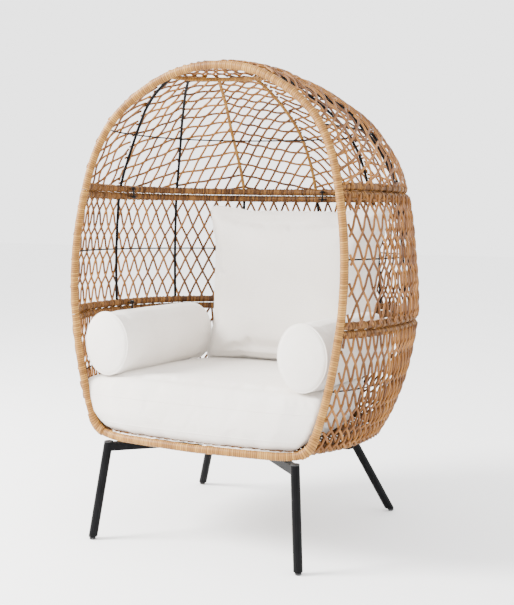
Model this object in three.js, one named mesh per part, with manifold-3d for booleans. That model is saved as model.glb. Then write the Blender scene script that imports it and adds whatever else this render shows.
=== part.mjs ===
// A free-standing garden egg chair: three stacked wicker-covered steel sections, a four-legged
// stand, and four loose cushions. Millimetres, +Z up, the open front faces -Y. The origin is on
// the floor, at the middle of the chair's footprint.
import * as THREE from 'three';
import { mergeVertices } from 'three/addons/utils/BufferGeometryUtils.js';
import Module from 'manifold-3d';

const wasm = await Module();
wasm.setup();

// ---------------------------------------------------------------- driving dimensions

// The egg's form, from the base rail up to the crown. Each row is one level: height on the front
// hoop, half width of the hoop, half width at the widest, depth behind the hoop, squareness of the
// plan curve, and how much the level falls for each millimetre towards the back.
const LEVELS = [
  [350, 363, 426, 706, 2.24, 0.035],
  [430, 397, 464, 750, 2.26, 0.034],
  [550, 427, 499, 790, 2.28, 0.033],
  [698, 451, 522, 812, 2.28, 0.031],
  [800, 458, 523, 808, 2.27, 0.03],
  [896, 457, 517, 792, 2.25, 0.03],
  [990, 448, 510, 777, 2.18, 0.03],
  [1088, 431, 497, 750, 2.1, 0.03],
  [1168, 411, 470, 702, 2.18, 0.031],
  [1244, 380, 427, 631, 2.32, 0.031],
  [1309, 337, 373, 549, 2.4, 0.028],
  [1363, 277, 303, 452, 2.35, 0.018],
  [1405, 211, 230, 348, 2.25, 0],
  [1436, 142, 153, 238, 2.15, -0.03],
  [1453, 69, 74, 120, 2.1, -0.05],
  [1458, 3, 3.3, 6, 2.05, -0.05],
];
const CROWN_HEIGHT = 1458;
const CHAIR_SHIFT = -359.9; // moves the chair so that its footprint is centred on the origin

const UPPER_JOINT = 1088; // heights on the hoop where the three sections meet
const LOWER_JOINT = 698;
const RAIL_SPACING = 24; // between the centres of the two rails at a joint
const BASE_LEVEL = 350;
const SEAM = 1; // gap in the hoop at each joint
const WIRE_LEVELS = { dome: 1279, middle: 896, seat: 520 };

const HOOP_ROD = 8; // radii
const HOOP_WRAP = 12.5;
const RAIL_ROD = 7;
const RAIL_WRAP = 11.3;
const RIB = 4;
const WIRE = 2;
const WIRE_CLEARANCE = 0.8; // from the ribs in to the wire
const GAP = 0.4; // between a wrap and the steel inside it, and between neighbouring pieces
const STACK_GAP = 0.3; // between pieces that are bolted or stacked together
const RIB_OPENING = RIB + 1.4; // half the slot along a rail's wrap where the ribs go in

const RIB_ANGLES = [3, 33, 60, 87, 117, 147, 177].map(THREE.MathUtils.degToRad);
const RIB_ENDS = [-9, 18, 49, 86, 126, 162, 189].map(THREE.MathUtils.degToRad); // at the crown ring
const CROWN_RING = 1432; // level of the small ring that gathers the dome's ribs
const CROWN_WRAP = 7;

const WEAVE_THICKNESS = 3.5;
const WEAVE_INNER = { dome: 9.5, middle: 7, seat: 7.5 }; // from the middle of the steel outwards
const PANEL_RAIL_MARGIN = 13; // from the middle of a rail or hoop to the edge of the woven skin
const PANEL_HOOP_MARGIN = 16;
const PANEL_TOP = 1457.5;
const PANEL_ROWS = { dome: 8, middle: 3, seat: 3 };

const FRONT_RAIL_HEIGHT = 325;
const FRONT_RAIL_BOW = 30;
const DECK_TOP = 341;
const DECK_THICKNESS = 5;
const SEAT_FALL = 0.035; // the seat and all that rests on it tips back by this slope
const SEAT_FRONT = -30; // where the seat's plane has its named height
const CROSSBAR_RADIUS = 6;
const CROSSBAR_ROWS = [
  { y: 170, reach: 421, bolt: 107 },
  { y: 450, reach: 379, bolt: 173 },
];

const LEG_RADIUS = 13.8;
const LEG_BORE = 11.8;
const LEG_SIDES = 12;
const BORE_SIDES = 8;
const ARM_SIZE = 25;
const ARM_BORE = 20;
const ARM_TOP = 302;
const LEG_TOP = 304;
const LEG_END = 9; // height of the tube's lower end
const GLIDE_RADIUS = 10;
const GLIDE_STEM = 7;
const CAP_RIM = 3;
const CAP_PLUG = 9;
const HUB = new THREE.Vector2(0, 270);
const ARM_STOP = 16; // from the middle of the hub to the end of an arm
const LEGS = [
  { name: 'front_left', foot: [-355, -77], top: [-322, -30] },
  { name: 'front_right', foot: [355, -77], top: [322, -30] },
  { name: 'rear_left', foot: [-370, 640], top: [-245, 527] },
  { name: 'rear_right', foot: [370, 640], top: [245, 527] },
];

const JOINT_BOLT_ANGLES = [8, 83, 172].map(THREE.MathUtils.degToRad);
const LUG_REACH = 25; // from the middle of the rails in to the bolt
const LUG = { width: 16, length: 35, thickness: 3 };
const BOLT_SHANK = 3;
const BOLT_HOLE = 3.4;
const BOLT_HEAD = 6.5;
const BOLT_TAIL = 7; // how far a bolt's end stands out past what it grips
const HEAD_HEIGHT = 5;
const NUT_HEIGHT = 4.5;

const SEAT_CUSHION = { bottom: 342.5, top: 508, y1: 200, back: 680, front: -28, bow: 28 };
// Half widths of the seat cushion from its underside to its top, as [share of height, half width].
const SEAT_PROFILE = [
  [0, 290],
  [0.11, 326],
  [0.36, 356],
  [0.65, 374],
  [0.92, 386],
  [1, 370],
];
const BOLSTER = { x: 335, halfWidth: 82, halfHeight: 101, base: 509.5, front: 30, back: 452 };
const BACK_CUSHION = { x: 20, y: 568, halfWidth: 315, halfHeight: 258, halfDepth: 80, lean: 8 };

// ---------------------------------------------------------------- materials

const finish = (color, roughness, metalness) =>
  new THREE.MeshStandardMaterial({ color, roughness, metalness });
const STEEL = finish('#17171a', 0.45, 0.6);
const CANE = finish('#c79a62', 0.6, 0);
const RAIL_CANE = finish('#a8703f', 0.65, 0);
const WEAVE = finish('#b97a43', 0.65, 0);
const DECK = finish('#9c6a3c', 0.7, 0);
const PLASTIC = finish('#101012', 0.6, 0);
const FASTENER = finish('#26262a', 0.35, 0.9);
const FABRIC = finish('#dedad4', 0.9, 0);

// ---------------------------------------------------------------- solids

const ROD_SIDES = 5;
const WRAP_SIDES = 7;

function toSolid(geometry) {
  const bare = geometry.clone();
  bare.deleteAttribute('normal');
  bare.deleteAttribute('uv');
  const merged = mergeVertices(bare, 1e-3);
  return new wasm.Manifold(
    new wasm.Mesh({
      numProp: 3,
      vertProperties: new Float32Array(merged.attributes.position.array),
      triVerts: new Uint32Array(merged.index.array),
    }),
  );
}

function toGeometry(solid) {
  const { numProp, vertProperties, triVerts } = solid.getMesh();
  const positions = new Float32Array((vertProperties.length / numProp) * 3);
  for (let i = 0; i < positions.length / 3; i++) {
    positions.set(vertProperties.subarray(i * numProp, i * numProp + 3), i * 3);
  }
  const geometry = new THREE.BufferGeometry();
  geometry.setAttribute('position', new THREE.BufferAttribute(positions, 3));
  geometry.setIndex(new THREE.BufferAttribute(triVerts, 1));
  geometry.computeVertexNormals();
  return geometry;
}

const join = (solids) => solids.reduce((whole, solid) => whole.add(solid));
const cut = (solid, tools) => tools.reduce((rest, tool) => rest.subtract(tool), solid);

const chair = new THREE.Group();
chair.position.y = CHAIR_SHIFT;

function place(name, shape, material) {
  const geometry = shape instanceof THREE.BufferGeometry ? shape : toGeometry(shape);
  const mesh = new THREE.Mesh(geometry, material);
  mesh.name = name;
  chair.add(mesh);
}

function polygonPath(radius, sides) {
  const path = new THREE.Path();
  for (let i = 0; i < sides; i++) {
    const angle = (i / sides) * 2 * Math.PI;
    const x = radius * Math.cos(angle);
    const y = radius * Math.sin(angle);
    if (i === 0) path.moveTo(x, y);
    else path.lineTo(x, y);
  }
  path.closePath();
  return path;
}

function sweep(shape, curve, steps) {
  return toSolid(
    new THREE.ExtrudeGeometry(shape, { steps, extrudePath: curve, bevelEnabled: false }),
  );
}

function rod(curve, radius, steps, sides = ROD_SIDES) {
  return sweep(new THREE.Shape(polygonPath(radius, sides).getPoints()), curve, steps);
}

// A wrap of wicker round a rod: a tube whose bore clears the rod.
function sleeve(curve, outer, inner, steps) {
  const shape = new THREE.Shape(polygonPath(outer, WRAP_SIDES).getPoints());
  shape.holes.push(polygonPath(inner + GAP, ROD_SIDES));
  return sweep(shape, curve, steps);
}

// A rail's wrap is open along one side, up (1) or down (-1), where the ribs and strands go in.
function openSleeve(curve, outer, inner, side, steps) {
  const middle = side > 0 ? 0 : Math.PI;
  const opening = Math.asin(RIB_OPENING / inner);
  const arc = (radius, sides) => {
    const points = [];
    for (let i = 0; i <= sides; i++) {
      const angle = middle - (Math.PI - opening) + (i / sides) * 2 * (Math.PI - opening);
      points.push(new THREE.Vector2(radius * Math.cos(angle), radius * Math.sin(angle)));
    }
    return points;
  };
  const sides = WRAP_SIDES - 1;
  const bore = (inner + GAP) / Math.cos((Math.PI - opening) / sides);
  const shape = new THREE.Shape([...arc(outer, sides), ...arc(bore, sides).reverse()]);
  return sweep(shape, curve, steps);
}

const smooth = (points) => new THREE.CatmullRomCurve3(points, false, 'centripetal');

// A box centred at a point, turned about Z.
function block(size, center, turn = 0) {
  const geometry = new THREE.BoxGeometry(...size);
  geometry.rotateZ(turn);
  geometry.translate(...center);
  return toSolid(geometry);
}

function upright(radius, bottom, top, x, y, sides = 12) {
  const geometry = new THREE.CylinderGeometry(radius, radius, top - bottom, sides);
  geometry.rotateX(Math.PI / 2);
  geometry.translate(x, y, (top + bottom) / 2);
  return toSolid(geometry);
}

// A closed skin through rings that have the same number of points, with a flat cap at each end.
function loft(rings) {
  const count = rings[0].length;
  const points = rings.flat();
  const first = points.length;
  for (const ring of [rings[0], rings[rings.length - 1]]) {
    const middle = new THREE.Vector3();
    ring.forEach((p) => middle.add(p));
    points.push(middle.divideScalar(count));
  }
  const faces = [];
  for (let i = 0; i < count; i++) {
    const next = (i + 1) % count;
    for (let r = 0; r + 1 < rings.length; r++) {
      const low = r * count;
      const high = low + count;
      faces.push(low + i, low + next, high + next, low + i, high + next, high + i);
    }
    const last = (rings.length - 1) * count;
    faces.push(first, next, i, first + 1, last + i, last + next);
  }
  const geometry = new THREE.BufferGeometry().setFromPoints(points);
  geometry.setIndex(faces);
  geometry.computeVertexNormals();
  return geometry;
}

// ---------------------------------------------------------------- the egg's form

const hoopLevels = new THREE.CatmullRomCurve3(
  LEVELS.map(([z, w, , depth]) => new THREE.Vector3(w, depth, z)), false, 'catmullrom', 0.5);
const formLevels = new THREE.CatmullRomCurve3(
  LEVELS.map(([, , a, , n, fall]) => new THREE.Vector3(a, n, fall)), false, 'catmullrom', 0.5);

// The hoop leans back a little more the higher it goes.
function hoopLean(z) {
  const rise = z / 1000 - 0.9;
  return 90 * rise + 66 * rise * rise;
}

// The level, from 0 at the base to 1 at the crown, whose hoop height is z.
function levelOf(z) {
  let low = 0;
  let high = 1;
  for (let i = 0; i < 40; i++) {
    const middle = (low + high) / 2;
    if (hoopLevels.getPoint(middle).z < z) low = middle;
    else high = middle;
  }
  return (low + high) / 2;
}

function form(level) {
  const { x: w, y: depth, z } = hoopLevels.getPoint(level);
  const { x: a, y: n, z: fall } = formLevels.getPoint(level);
  const flare = (1 - (w / a) ** n) ** (1 / n);
  const start = -Math.atan2(flare ** (n / 2), (w / a) ** (n / 2));
  return { w, z, a, n, fall, flare, b: depth / (1 + flare), start };
}

// A point of the egg at a level, at a plan angle from +X round the back to -X.
function eggPoint(level, angle) {
  const { z, a, n, fall, flare, b } = form(level);
  const c = Math.cos(angle);
  const s = Math.sin(angle);
  const back = b * (flare + Math.sign(s) * Math.abs(s) ** (2 / n));
  return new THREE.Vector3(
    a * Math.sign(c) * Math.abs(c) ** (2 / n), hoopLean(z) + back, z - fall * back);
}

function eggNormal(level, angle) {
  const step = 0.004; // of the level, and in radians
  const along = eggPoint(level, angle + step).sub(eggPoint(level, angle - step));
  const above = eggPoint(Math.min(level + step, 1), angle);
  const up = above.sub(eggPoint(Math.max(level - step, 0), angle));
  return along.cross(up).normalize();
}

const LARGEST_MARGIN = 0.45; // radians, near the crown, where the levels are small

// Plan angles from one end of a level to the other, with a stop at each rib.
function levelAngles(level, margin = 0) {
  const { start, a } = form(level);
  const first = start + Math.min(margin / a, LARGEST_MARGIN);
  const stops = [first, ...RIB_ANGLES, Math.PI - first];
  const angles = [];
  for (let i = 0; i + 1 < stops.length; i++) {
    for (const share of [0, 1 / 2]) {
      angles.push(stops[i] + (stops[i + 1] - stops[i]) * share);
    }
  }
  angles.push(stops[stops.length - 1]);
  return angles;
}

const RAIL_STEPS = 16;
const levelCurve = (height, inset = 0, margin = 0) => {
  const level = levelOf(height);
  return smooth(levelAngles(level, margin).map((angle) =>
    eggPoint(level, angle).addScaledVector(eggNormal(level, angle), -inset)));
};

// A wire runs round each section at mid height, just inside the ribs, from wrap to wrap.
function placeWire(name, height) {
  const curve = levelCurve(height, RIB + WIRE + WIRE_CLEARANCE, HOOP_WRAP + 3);
  place(name, rod(curve, WIRE, RAIL_STEPS, 4), STEEL);
}

function ribCurve(angle, from, to, count) {
  const low = levelOf(from);
  const high = levelOf(to);
  const points = [];
  for (let i = 0; i <= count; i++) points.push(eggPoint(low + ((high - low) * i) / count, angle));
  return smooth(points);
}

// A dome rib follows the egg's skin from the rail to the crown ring, and turns a little on the way.
function domeRibCurve(angle, end) {
  const low = levelOf(UPPER_JOINT + RAIL_SPACING / 2);
  const high = levelOf(CROWN_RING);
  const points = [];
  const count = 8;
  for (let i = 0; i <= count; i++) {
    const share = i / count;
    points.push(eggPoint(low + (high - low) * share, angle + (end - angle) * share ** 2.5));
  }
  return smooth(points);
}

// The hoop's centre line between two heights on one side of the chair.
function hoopPoints(from, to, side, count) {
  const points = [];
  for (let i = 0; i <= count; i++) {
    const z = from + ((to - from) * i) / count;
    points.push(new THREE.Vector3(side * hoopLevels.getPoint(levelOf(z)).x, hoopLean(z), z));
  }
  return points;
}

// ---------------------------------------------------------------- joints between sections

// The two rails at a joint carry lugs on the inside, one above the other, with a bolt through both.
function jointStations(height) {
  const level = levelOf(height);
  return JOINT_BOLT_ANGLES.map((angle) => {
    const out = eggNormal(level, angle).setZ(0).normalize();
    return { point: eggPoint(level, angle), out, turn: Math.atan2(out.y, out.x) };
  });
}

function lugs(height, side, grow = 0) {
  return jointStations(height).map(({ point, out, turn }) => {
    const center = point.clone().addScaledVector(out, -LUG.length / 2);
    return block(
      [LUG.length + 2 * grow, LUG.width + 2 * grow, LUG.thickness + 2 * grow],
      [center.x, center.y, point.z + (side * RAIL_SPACING) / 2],
      turn,
    );
  });
}

function lugHoles(height) {
  return jointStations(height).map(({ point, out }) => {
    const at = point.clone().addScaledVector(out, -LUG_REACH);
    return upright(BOLT_HOLE, point.z - RAIL_SPACING, point.z + RAIL_SPACING, at.x, at.y, 6);
  });
}

// A bolt down through what lies between two heights, with its nut underneath.
function bolt(x, y, gripTop, gripBottom) {
  const nutTop = gripBottom - STACK_GAP;
  return join([
    upright(BOLT_HEAD, gripTop + STACK_GAP, gripTop + HEAD_HEIGHT, x, y, 6),
    upright(BOLT_SHANK, gripBottom - BOLT_TAIL, gripTop + 1, x, y, 6),
    upright(BOLT_HEAD, nutTop - NUT_HEIGHT, nutTop, x, y, 6),
  ]);
}

function placeJointBolts(prefix, height) {
  const half = (RAIL_SPACING + LUG.thickness) / 2;
  jointStations(height).forEach(({ point, out }, i) => {
    const at = point.clone().addScaledVector(out, -LUG_REACH);
    place(`${prefix}_${i + 1}`, bolt(at.x, at.y, point.z + half, point.z - half), FASTENER);
  });
}

// ---------------------------------------------------------------- wickerwork

// A woven panel from just above a rail to a height: a box bent onto the egg.
function wovenPanel(rail, to, rows, inner) {
  const low = levelOf(rail + PANEL_RAIL_MARGIN);
  const high = levelOf(to);
  const columns = RAIL_STEPS;
  const geometry = new THREE.BoxGeometry(1, 1, 1, columns, rows, 1);
  const position = geometry.attributes.position;
  for (let i = 0; i < position.count; i++) {
    const level = low + (high - low) * (position.getY(i) + 0.5);
    const angles = levelAngles(level, PANEL_HOOP_MARGIN);
    const angle = angles[Math.round((position.getX(i) + 0.5) * columns)];
    const reach = position.getZ(i) < 0 ? inner : inner + WEAVE_THICKNESS;
    const point = eggPoint(level, angle).addScaledVector(eggNormal(level, angle), reach);
    position.setXYZ(i, point.x, point.y, point.z);
  }
  return toSolid(geometry);
}

// ---------------------------------------------------------------- dome section

const RIB_STEPS = 4;
const DOME_RIB_STEPS = 8;
const upperTop = UPPER_JOINT + RAIL_SPACING / 2;
const upperBottom = UPPER_JOINT - RAIL_SPACING / 2;
const lowerTop = LOWER_JOINT + RAIL_SPACING / 2;
const lowerBottom = LOWER_JOINT - RAIL_SPACING / 2;

function buildDome() {
  const side = hoopPoints(UPPER_JOINT + SEAM / 2, CROWN_HEIGHT - 5, 1, 9);
  const crown = new THREE.Vector3(0, hoopLean(CROWN_HEIGHT), CROWN_HEIGHT);
  const mirrored = side.map((p) => new THREE.Vector3(-p.x, p.y, p.z)).reverse();
  const arch = smooth([...side, crown, ...mirrored]);
  const steps = 20;
  const rail = levelCurve(upperTop);
  const ring = levelCurve(CROWN_RING);
  const ribs = RIB_ANGLES.map((angle, i) => domeRibCurve(angle, RIB_ENDS[i]));

  const archRod = rod(arch, HOOP_ROD, steps);
  const railRod = rod(rail, RAIL_ROD, RAIL_STEPS);
  const ribRods = ribs.map((curve) => rod(curve, RIB, DOME_RIB_STEPS));
  const ringRod = rod(ring, RIB, RAIL_STEPS);
  const frame = join([archRod, railRod, ringRod, ...ribRods, ...lugs(UPPER_JOINT, 1)]);
  place('dome_frame', cut(frame, lugHoles(UPPER_JOINT)), STEEL);

  const thickRibs = ribs.map((curve) => rod(curve, RIB + GAP, DOME_RIB_STEPS));
  const thickLugs = lugs(UPPER_JOINT, 1, GAP);
  const archWrap = cut(sleeve(arch, HOOP_WRAP, HOOP_ROD, steps), [
    rod(rail, RAIL_ROD + GAP, RAIL_STEPS), rod(ring, RIB + GAP, RAIL_STEPS)]);
  place('dome_arch_wrap', archWrap, CANE);
  const archTrim = rod(arch, HOOP_WRAP + GAP, steps, WRAP_SIDES);
  const railWrap = cut(openSleeve(rail, RAIL_WRAP, RAIL_ROD, 1, RAIL_STEPS), [
    archTrim, ...thickLugs, ...thickRibs]);
  place('dome_rail_wrap', railWrap, RAIL_CANE);
  const ringWrap = cut(sleeve(ring, CROWN_WRAP, RIB, RAIL_STEPS), [archTrim, ...thickRibs]);
  place('dome_crown_wrap', ringWrap, CANE);
  placeWire('dome_wire', WIRE_LEVELS.dome);
  const panel = wovenPanel(upperTop, PANEL_TOP, PANEL_ROWS.dome, WEAVE_INNER.dome);
  place('dome_weave', cut(panel, [archTrim]), WEAVE);
}

// ---------------------------------------------------------------- middle section

function buildMiddle() {
  const steps = 4;
  const posts = [1, -1].map((side) =>
    smooth(hoopPoints(LOWER_JOINT + SEAM / 2, UPPER_JOINT - SEAM / 2, side, steps)));
  const rails = [upperBottom, lowerTop].map((height) => levelCurve(height));
  const ribs = RIB_ANGLES.map((angle) => ribCurve(angle, lowerTop, upperBottom, RIB_STEPS));

  const frame = join([
    ...posts.map((curve) => rod(curve, HOOP_ROD, steps)),
    ...rails.map((curve) => rod(curve, RAIL_ROD, RAIL_STEPS)),
    ...ribs.map((curve) => rod(curve, RIB, RIB_STEPS)),
    ...lugs(UPPER_JOINT, -1),
    ...lugs(LOWER_JOINT, 1),
  ]);
  const holes = [...lugHoles(UPPER_JOINT), ...lugHoles(LOWER_JOINT)];
  place('middle_frame', cut(frame, holes), STEEL);

  const thickRails = rails.map((curve) => rod(curve, RAIL_ROD + GAP, RAIL_STEPS));
  const thickRibs = ribs.map((curve) => rod(curve, RIB + GAP, RIB_STEPS));
  posts.forEach((curve, i) => {
    const wrap = cut(sleeve(curve, HOOP_WRAP, HOOP_ROD, steps), thickRails);
    place(['middle_post_wrap_right', 'middle_post_wrap_left'][i], wrap, CANE);
  });
  const postTrims = posts.map((curve) => rod(curve, HOOP_WRAP + GAP, steps, WRAP_SIDES));
  const thickLugs = [...lugs(UPPER_JOINT, -1, GAP), ...lugs(LOWER_JOINT, 1, GAP)];
  rails.forEach((curve, i) => {
    const wrap = cut(openSleeve(curve, RAIL_WRAP, RAIL_ROD, [-1, 1][i], RAIL_STEPS), [
      ...postTrims, ...thickLugs, ...thickRibs]);
    place(['middle_upper_rail_wrap', 'middle_lower_rail_wrap'][i], wrap, RAIL_CANE);
  });
  placeWire('middle_wire', WIRE_LEVELS.middle);
  const top = upperBottom - PANEL_RAIL_MARGIN;
  const panel = wovenPanel(lowerTop, top, PANEL_ROWS.middle, WEAVE_INNER.middle);
  place('middle_weave', panel, WEAVE);
}

// ---------------------------------------------------------------- seat section

const seatPlane = (height, y) => height - SEAT_FALL * (y - SEAT_FRONT);

// The hoop's lower part: down one side, round a tight corner, and along the front rail.
function frontLoop() {
  const corner = [
    [384, 390],
    [373, 363],
    [352, 341],
    [322, 330],
  ];
  const half = hoopPoints(LOWER_JOINT - SEAM / 2, 430, 1, 4);
  for (const [x, z] of corner) half.push(new THREE.Vector3(x, hoopLean(z), z));
  for (const x of [270, 180, 90]) {
    const y = hoopLean(FRONT_RAIL_HEIGHT) - FRONT_RAIL_BOW * (1 - (x / 322) ** 2);
    half.push(new THREE.Vector3(x, y, FRONT_RAIL_HEIGHT));
  }
  const middle = new THREE.Vector3(
    0, hoopLean(FRONT_RAIL_HEIGHT) - FRONT_RAIL_BOW, FRONT_RAIL_HEIGHT - 1);
  const mirrored = half.map((p) => new THREE.Vector3(-p.x, p.y, p.z)).reverse();
  return smooth([...half, middle, ...mirrored]);
}

// A bar across the seat: out of one base rail, down under the deck, and up to the other.
function crossbar({ y, reach }) {
  const low = seatPlane(DECK_TOP - DECK_THICKNESS, y) - CROSSBAR_RADIUS - 1;
  const high = seatPlane(BASE_LEVEL, y);
  const half = [
    [reach, high],
    [reach - 2, high - 13],
    [reach - 16, low],
    [reach - 60, low],
  ];
  const right = half.map(([x, z]) => new THREE.Vector3(x, y, z));
  const left = half.map(([x, z]) => new THREE.Vector3(-x, y, z)).reverse();
  return smooth([...right, new THREE.Vector3(0, y, low), ...left]);
}

// The feet under a crossbar that stand on the arms of the stand.
function crossbarFeet({ y, bolt: x }) {
  const top = seatPlane(DECK_TOP - DECK_THICKNESS, y) - CROSSBAR_RADIUS - 1;
  const bottom = ARM_TOP + GAP;
  return [x, -x].map((at) =>
    block([24, 24, top - bottom], [at, y, (top + bottom) / 2]));
}

const boltHolesUnderSeat = () => CROSSBAR_ROWS.flatMap(({ y, bolt: x }) =>
  [x, -x].map((at) => upright(BOLT_HOLE, ARM_TOP - ARM_SIZE - 5, ARM_TOP + 12, at, y, 8)));

// The deck fills the base: a flat panel inside the base rail that stops behind the front rail.
function seatDeck() {
  const level = levelOf(BASE_LEVEL);
  const inset = RAIL_WRAP + 1.5;
  const round = levelAngles(level, 2 * inset).map((angle) => {
    const out = eggNormal(level, angle).setZ(0).normalize();
    return eggPoint(level, angle).addScaledVector(out, -inset);
  });
  const points = round.map((p) => new THREE.Vector2(p.x, p.y));
  const behindRail = hoopLean(FRONT_RAIL_HEIGHT) + HOOP_WRAP + 1.5;
  for (const share of [-1, -0.6, -0.2, 0.2, 0.6, 1]) {
    const y = behindRail - FRONT_RAIL_BOW * (1 - share * share);
    points.push(new THREE.Vector2(320 * share, y));
  }
  const shape = new THREE.Shape(points);
  const geometry = new THREE.ExtrudeGeometry(shape, { depth: DECK_THICKNESS, bevelEnabled: false });
  const position = geometry.attributes.position;
  for (let i = 0; i < position.count; i++) {
    const lift = seatPlane(DECK_TOP - DECK_THICKNESS, position.getY(i));
    position.setZ(i, position.getZ(i) + lift);
  }
  return toSolid(geometry);
}

const BAR_STEPS = 12;

function buildSeat() {
  const loopSteps = 26;
  const loop = frontLoop();
  const rails = [lowerBottom, BASE_LEVEL].map((height) => levelCurve(height));
  const ribs = RIB_ANGLES.map((angle) => ribCurve(angle, BASE_LEVEL, lowerBottom, RIB_STEPS));
  const bars = CROSSBAR_ROWS.map(crossbar);

  const frame = join([
    rod(loop, HOOP_ROD, loopSteps),
    ...rails.map((curve) => rod(curve, RAIL_ROD, RAIL_STEPS)),
    ...ribs.map((curve) => rod(curve, RIB, RIB_STEPS)),
    ...bars.map((curve) => rod(curve, CROSSBAR_RADIUS, BAR_STEPS)),
    ...CROSSBAR_ROWS.flatMap(crossbarFeet),
    ...lugs(LOWER_JOINT, -1),
  ]);
  const holes = [...lugHoles(LOWER_JOINT), ...boltHolesUnderSeat()];
  place('seat_frame', cut(frame, holes), STEEL);

  const thickBars = bars.map((curve) => rod(curve, CROSSBAR_RADIUS + GAP, BAR_STEPS));
  const thickRails = rails.map((curve) => rod(curve, RAIL_ROD + GAP, RAIL_STEPS));
  const thickRibs = ribs.map((curve) => rod(curve, RIB + GAP, RIB_STEPS));
  const loopWrap = cut(sleeve(loop, HOOP_WRAP, HOOP_ROD, loopSteps), thickRails);
  place('seat_hoop_wrap', loopWrap, CANE);
  const loopTrim = rod(loop, HOOP_WRAP + GAP, loopSteps, WRAP_SIDES);
  const thickLugs = lugs(LOWER_JOINT, -1, GAP);
  rails.forEach((curve, i) => {
    const wrap = cut(openSleeve(curve, RAIL_WRAP, RAIL_ROD, [-1, 1][i], RAIL_STEPS), [
      loopTrim, ...thickLugs, ...thickBars, ...thickRibs]);
    place(['seat_upper_rail_wrap', 'seat_base_rail_wrap'][i], wrap, RAIL_CANE);
  });
  placeWire('seat_wire', WIRE_LEVELS.seat);
  const top = lowerBottom - PANEL_RAIL_MARGIN;
  const panel = wovenPanel(BASE_LEVEL, top, PANEL_ROWS.seat, WEAVE_INNER.seat);
  place('seat_weave', panel, WEAVE);
  place('seat_deck', cut(seatDeck(), thickBars), DECK);
}

// ---------------------------------------------------------------- stand

// A leg is a round tube with a square arm welded to its top; the arms bolt to a plate in the middle.
function buildLeg({ name, foot, top }) {
  const low = new THREE.Vector3(foot[0], foot[1], 0);
  const high = new THREE.Vector3(top[0], top[1], LEG_TOP);
  const along = high.clone().sub(low).normalize();
  const overrun = 30; // the tube is made too long and its ends are cut level
  const axis = new THREE.LineCurve3(
    low.clone().addScaledVector(along, -overrun), high.clone().addScaledVector(along, overrun));

  const reach = new THREE.Vector2(...top).sub(HUB);
  const turn = Math.atan2(reach.y, reach.x);
  const armLength = reach.length() - ARM_STOP;
  const armBlock = (length, size, stop) => {
    const middle = reach.clone().setLength(stop + length / 2).add(HUB);
    return block([length, size, size], [middle.x, middle.y, ARM_TOP - ARM_SIZE / 2], turn);
  };
  const arm = armBlock(armLength, ARM_SIZE, ARM_STOP);
  const armBore = armBlock(armLength - LEG_BORE, ARM_BORE, ARM_STOP - LEG_BORE);
  const size = 500; // of a block that takes away all of a leg above or below a height
  const below = (z) => block([size, size, size], [...foot, z - size / 2]);
  const above = (z) => block([size, size, size], [...foot, z + size / 2]);
  const slice = (radius, sides, bottom, height) =>
    cut(rod(axis, radius, 1, sides), [below(bottom), above(height)]);
  const drills = [...boltHolesUnderSeat(), ...hubHoles()];
  const leg = cut(join([rod(axis, LEG_RADIUS, 1, LEG_SIDES), arm]), [
    rod(axis, LEG_BORE, 1, BORE_SIDES), armBore, below(LEG_END), above(LEG_TOP), ...drills]);
  place(`leg_${name}`, leg, STEEL);

  // The cap's rim covers the tube's end and its plug fills the bore.
  const rim = slice(LEG_RADIUS, LEG_SIDES, LEG_TOP + STACK_GAP, LEG_TOP + CAP_RIM);
  const plug = slice(LEG_BORE - 1, BORE_SIDES, LEG_TOP - CAP_PLUG, LEG_TOP + 1);
  place(`cap_${name}`, join([rim, plug]), PLASTIC);

  // The glide's stem follows the bore and its round foot stands flat on the floor.
  const stem = new THREE.LineCurve3(
    low.clone().addScaledVector(along, 6), low.clone().addScaledVector(along, 26));
  const pad = new THREE.LatheGeometry(
    [[0, 0], [GLIDE_RADIUS - 2, 0], [GLIDE_RADIUS, 2.5], [GLIDE_RADIUS, 6], [7, 8.5], [0, 8.5]]
      .map(([x, y]) => new THREE.Vector2(x, y)), 10);
  pad.rotateX(Math.PI / 2);
  pad.translate(foot[0], foot[1], 0);
  const glide = join([toSolid(pad), rod(stem, GLIDE_STEM, 1, BORE_SIDES)]);
  place(`glide_${name}`, glide, PLASTIC);
}

const HUB_PLATE = { radius: 85, thickness: 4 };
const HUB_BOLT_REACH = 60;

const hubStations = () => LEGS.map(({ top }) =>
  new THREE.Vector2(...top).sub(HUB).setLength(HUB_BOLT_REACH).add(HUB));

const hubHoles = () => hubStations().map(({ x, y }) =>
  upright(BOLT_HOLE, ARM_TOP - ARM_SIZE - 10, ARM_TOP + 5, x, y, 8));

function buildStand() {
  LEGS.forEach(buildLeg);
  const armBottom = ARM_TOP - ARM_SIZE;
  const plateTop = armBottom - STACK_GAP;
  const plateBottom = plateTop - HUB_PLATE.thickness;
  const plate = upright(HUB_PLATE.radius, plateBottom, plateTop, HUB.x, HUB.y, 16);
  place('stand_hub_plate', cut(plate, hubHoles()), STEEL);
  hubStations().forEach(({ x, y }, i) => {
    place(`hub_bolt_${LEGS[i].name}`, bolt(x, y, ARM_TOP, plateBottom), FASTENER);
  });
  const rows = ['front', 'rear'];
  CROSSBAR_ROWS.forEach(({ y, bolt: x }, row) => {
    [-x, x].forEach((at, i) => {
      const shape = join([
        upright(BOLT_HEAD, plateTop - HEAD_HEIGHT, plateTop, at, y, 6),
        upright(BOLT_SHANK, armBottom - 1, ARM_TOP + 8, at, y, 8),
      ]);
      place(`seat_bolt_${rows[row]}_${['left', 'right'][i]}`, shape, FASTENER);
    });
  });
}

// ---------------------------------------------------------------- cushions

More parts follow.
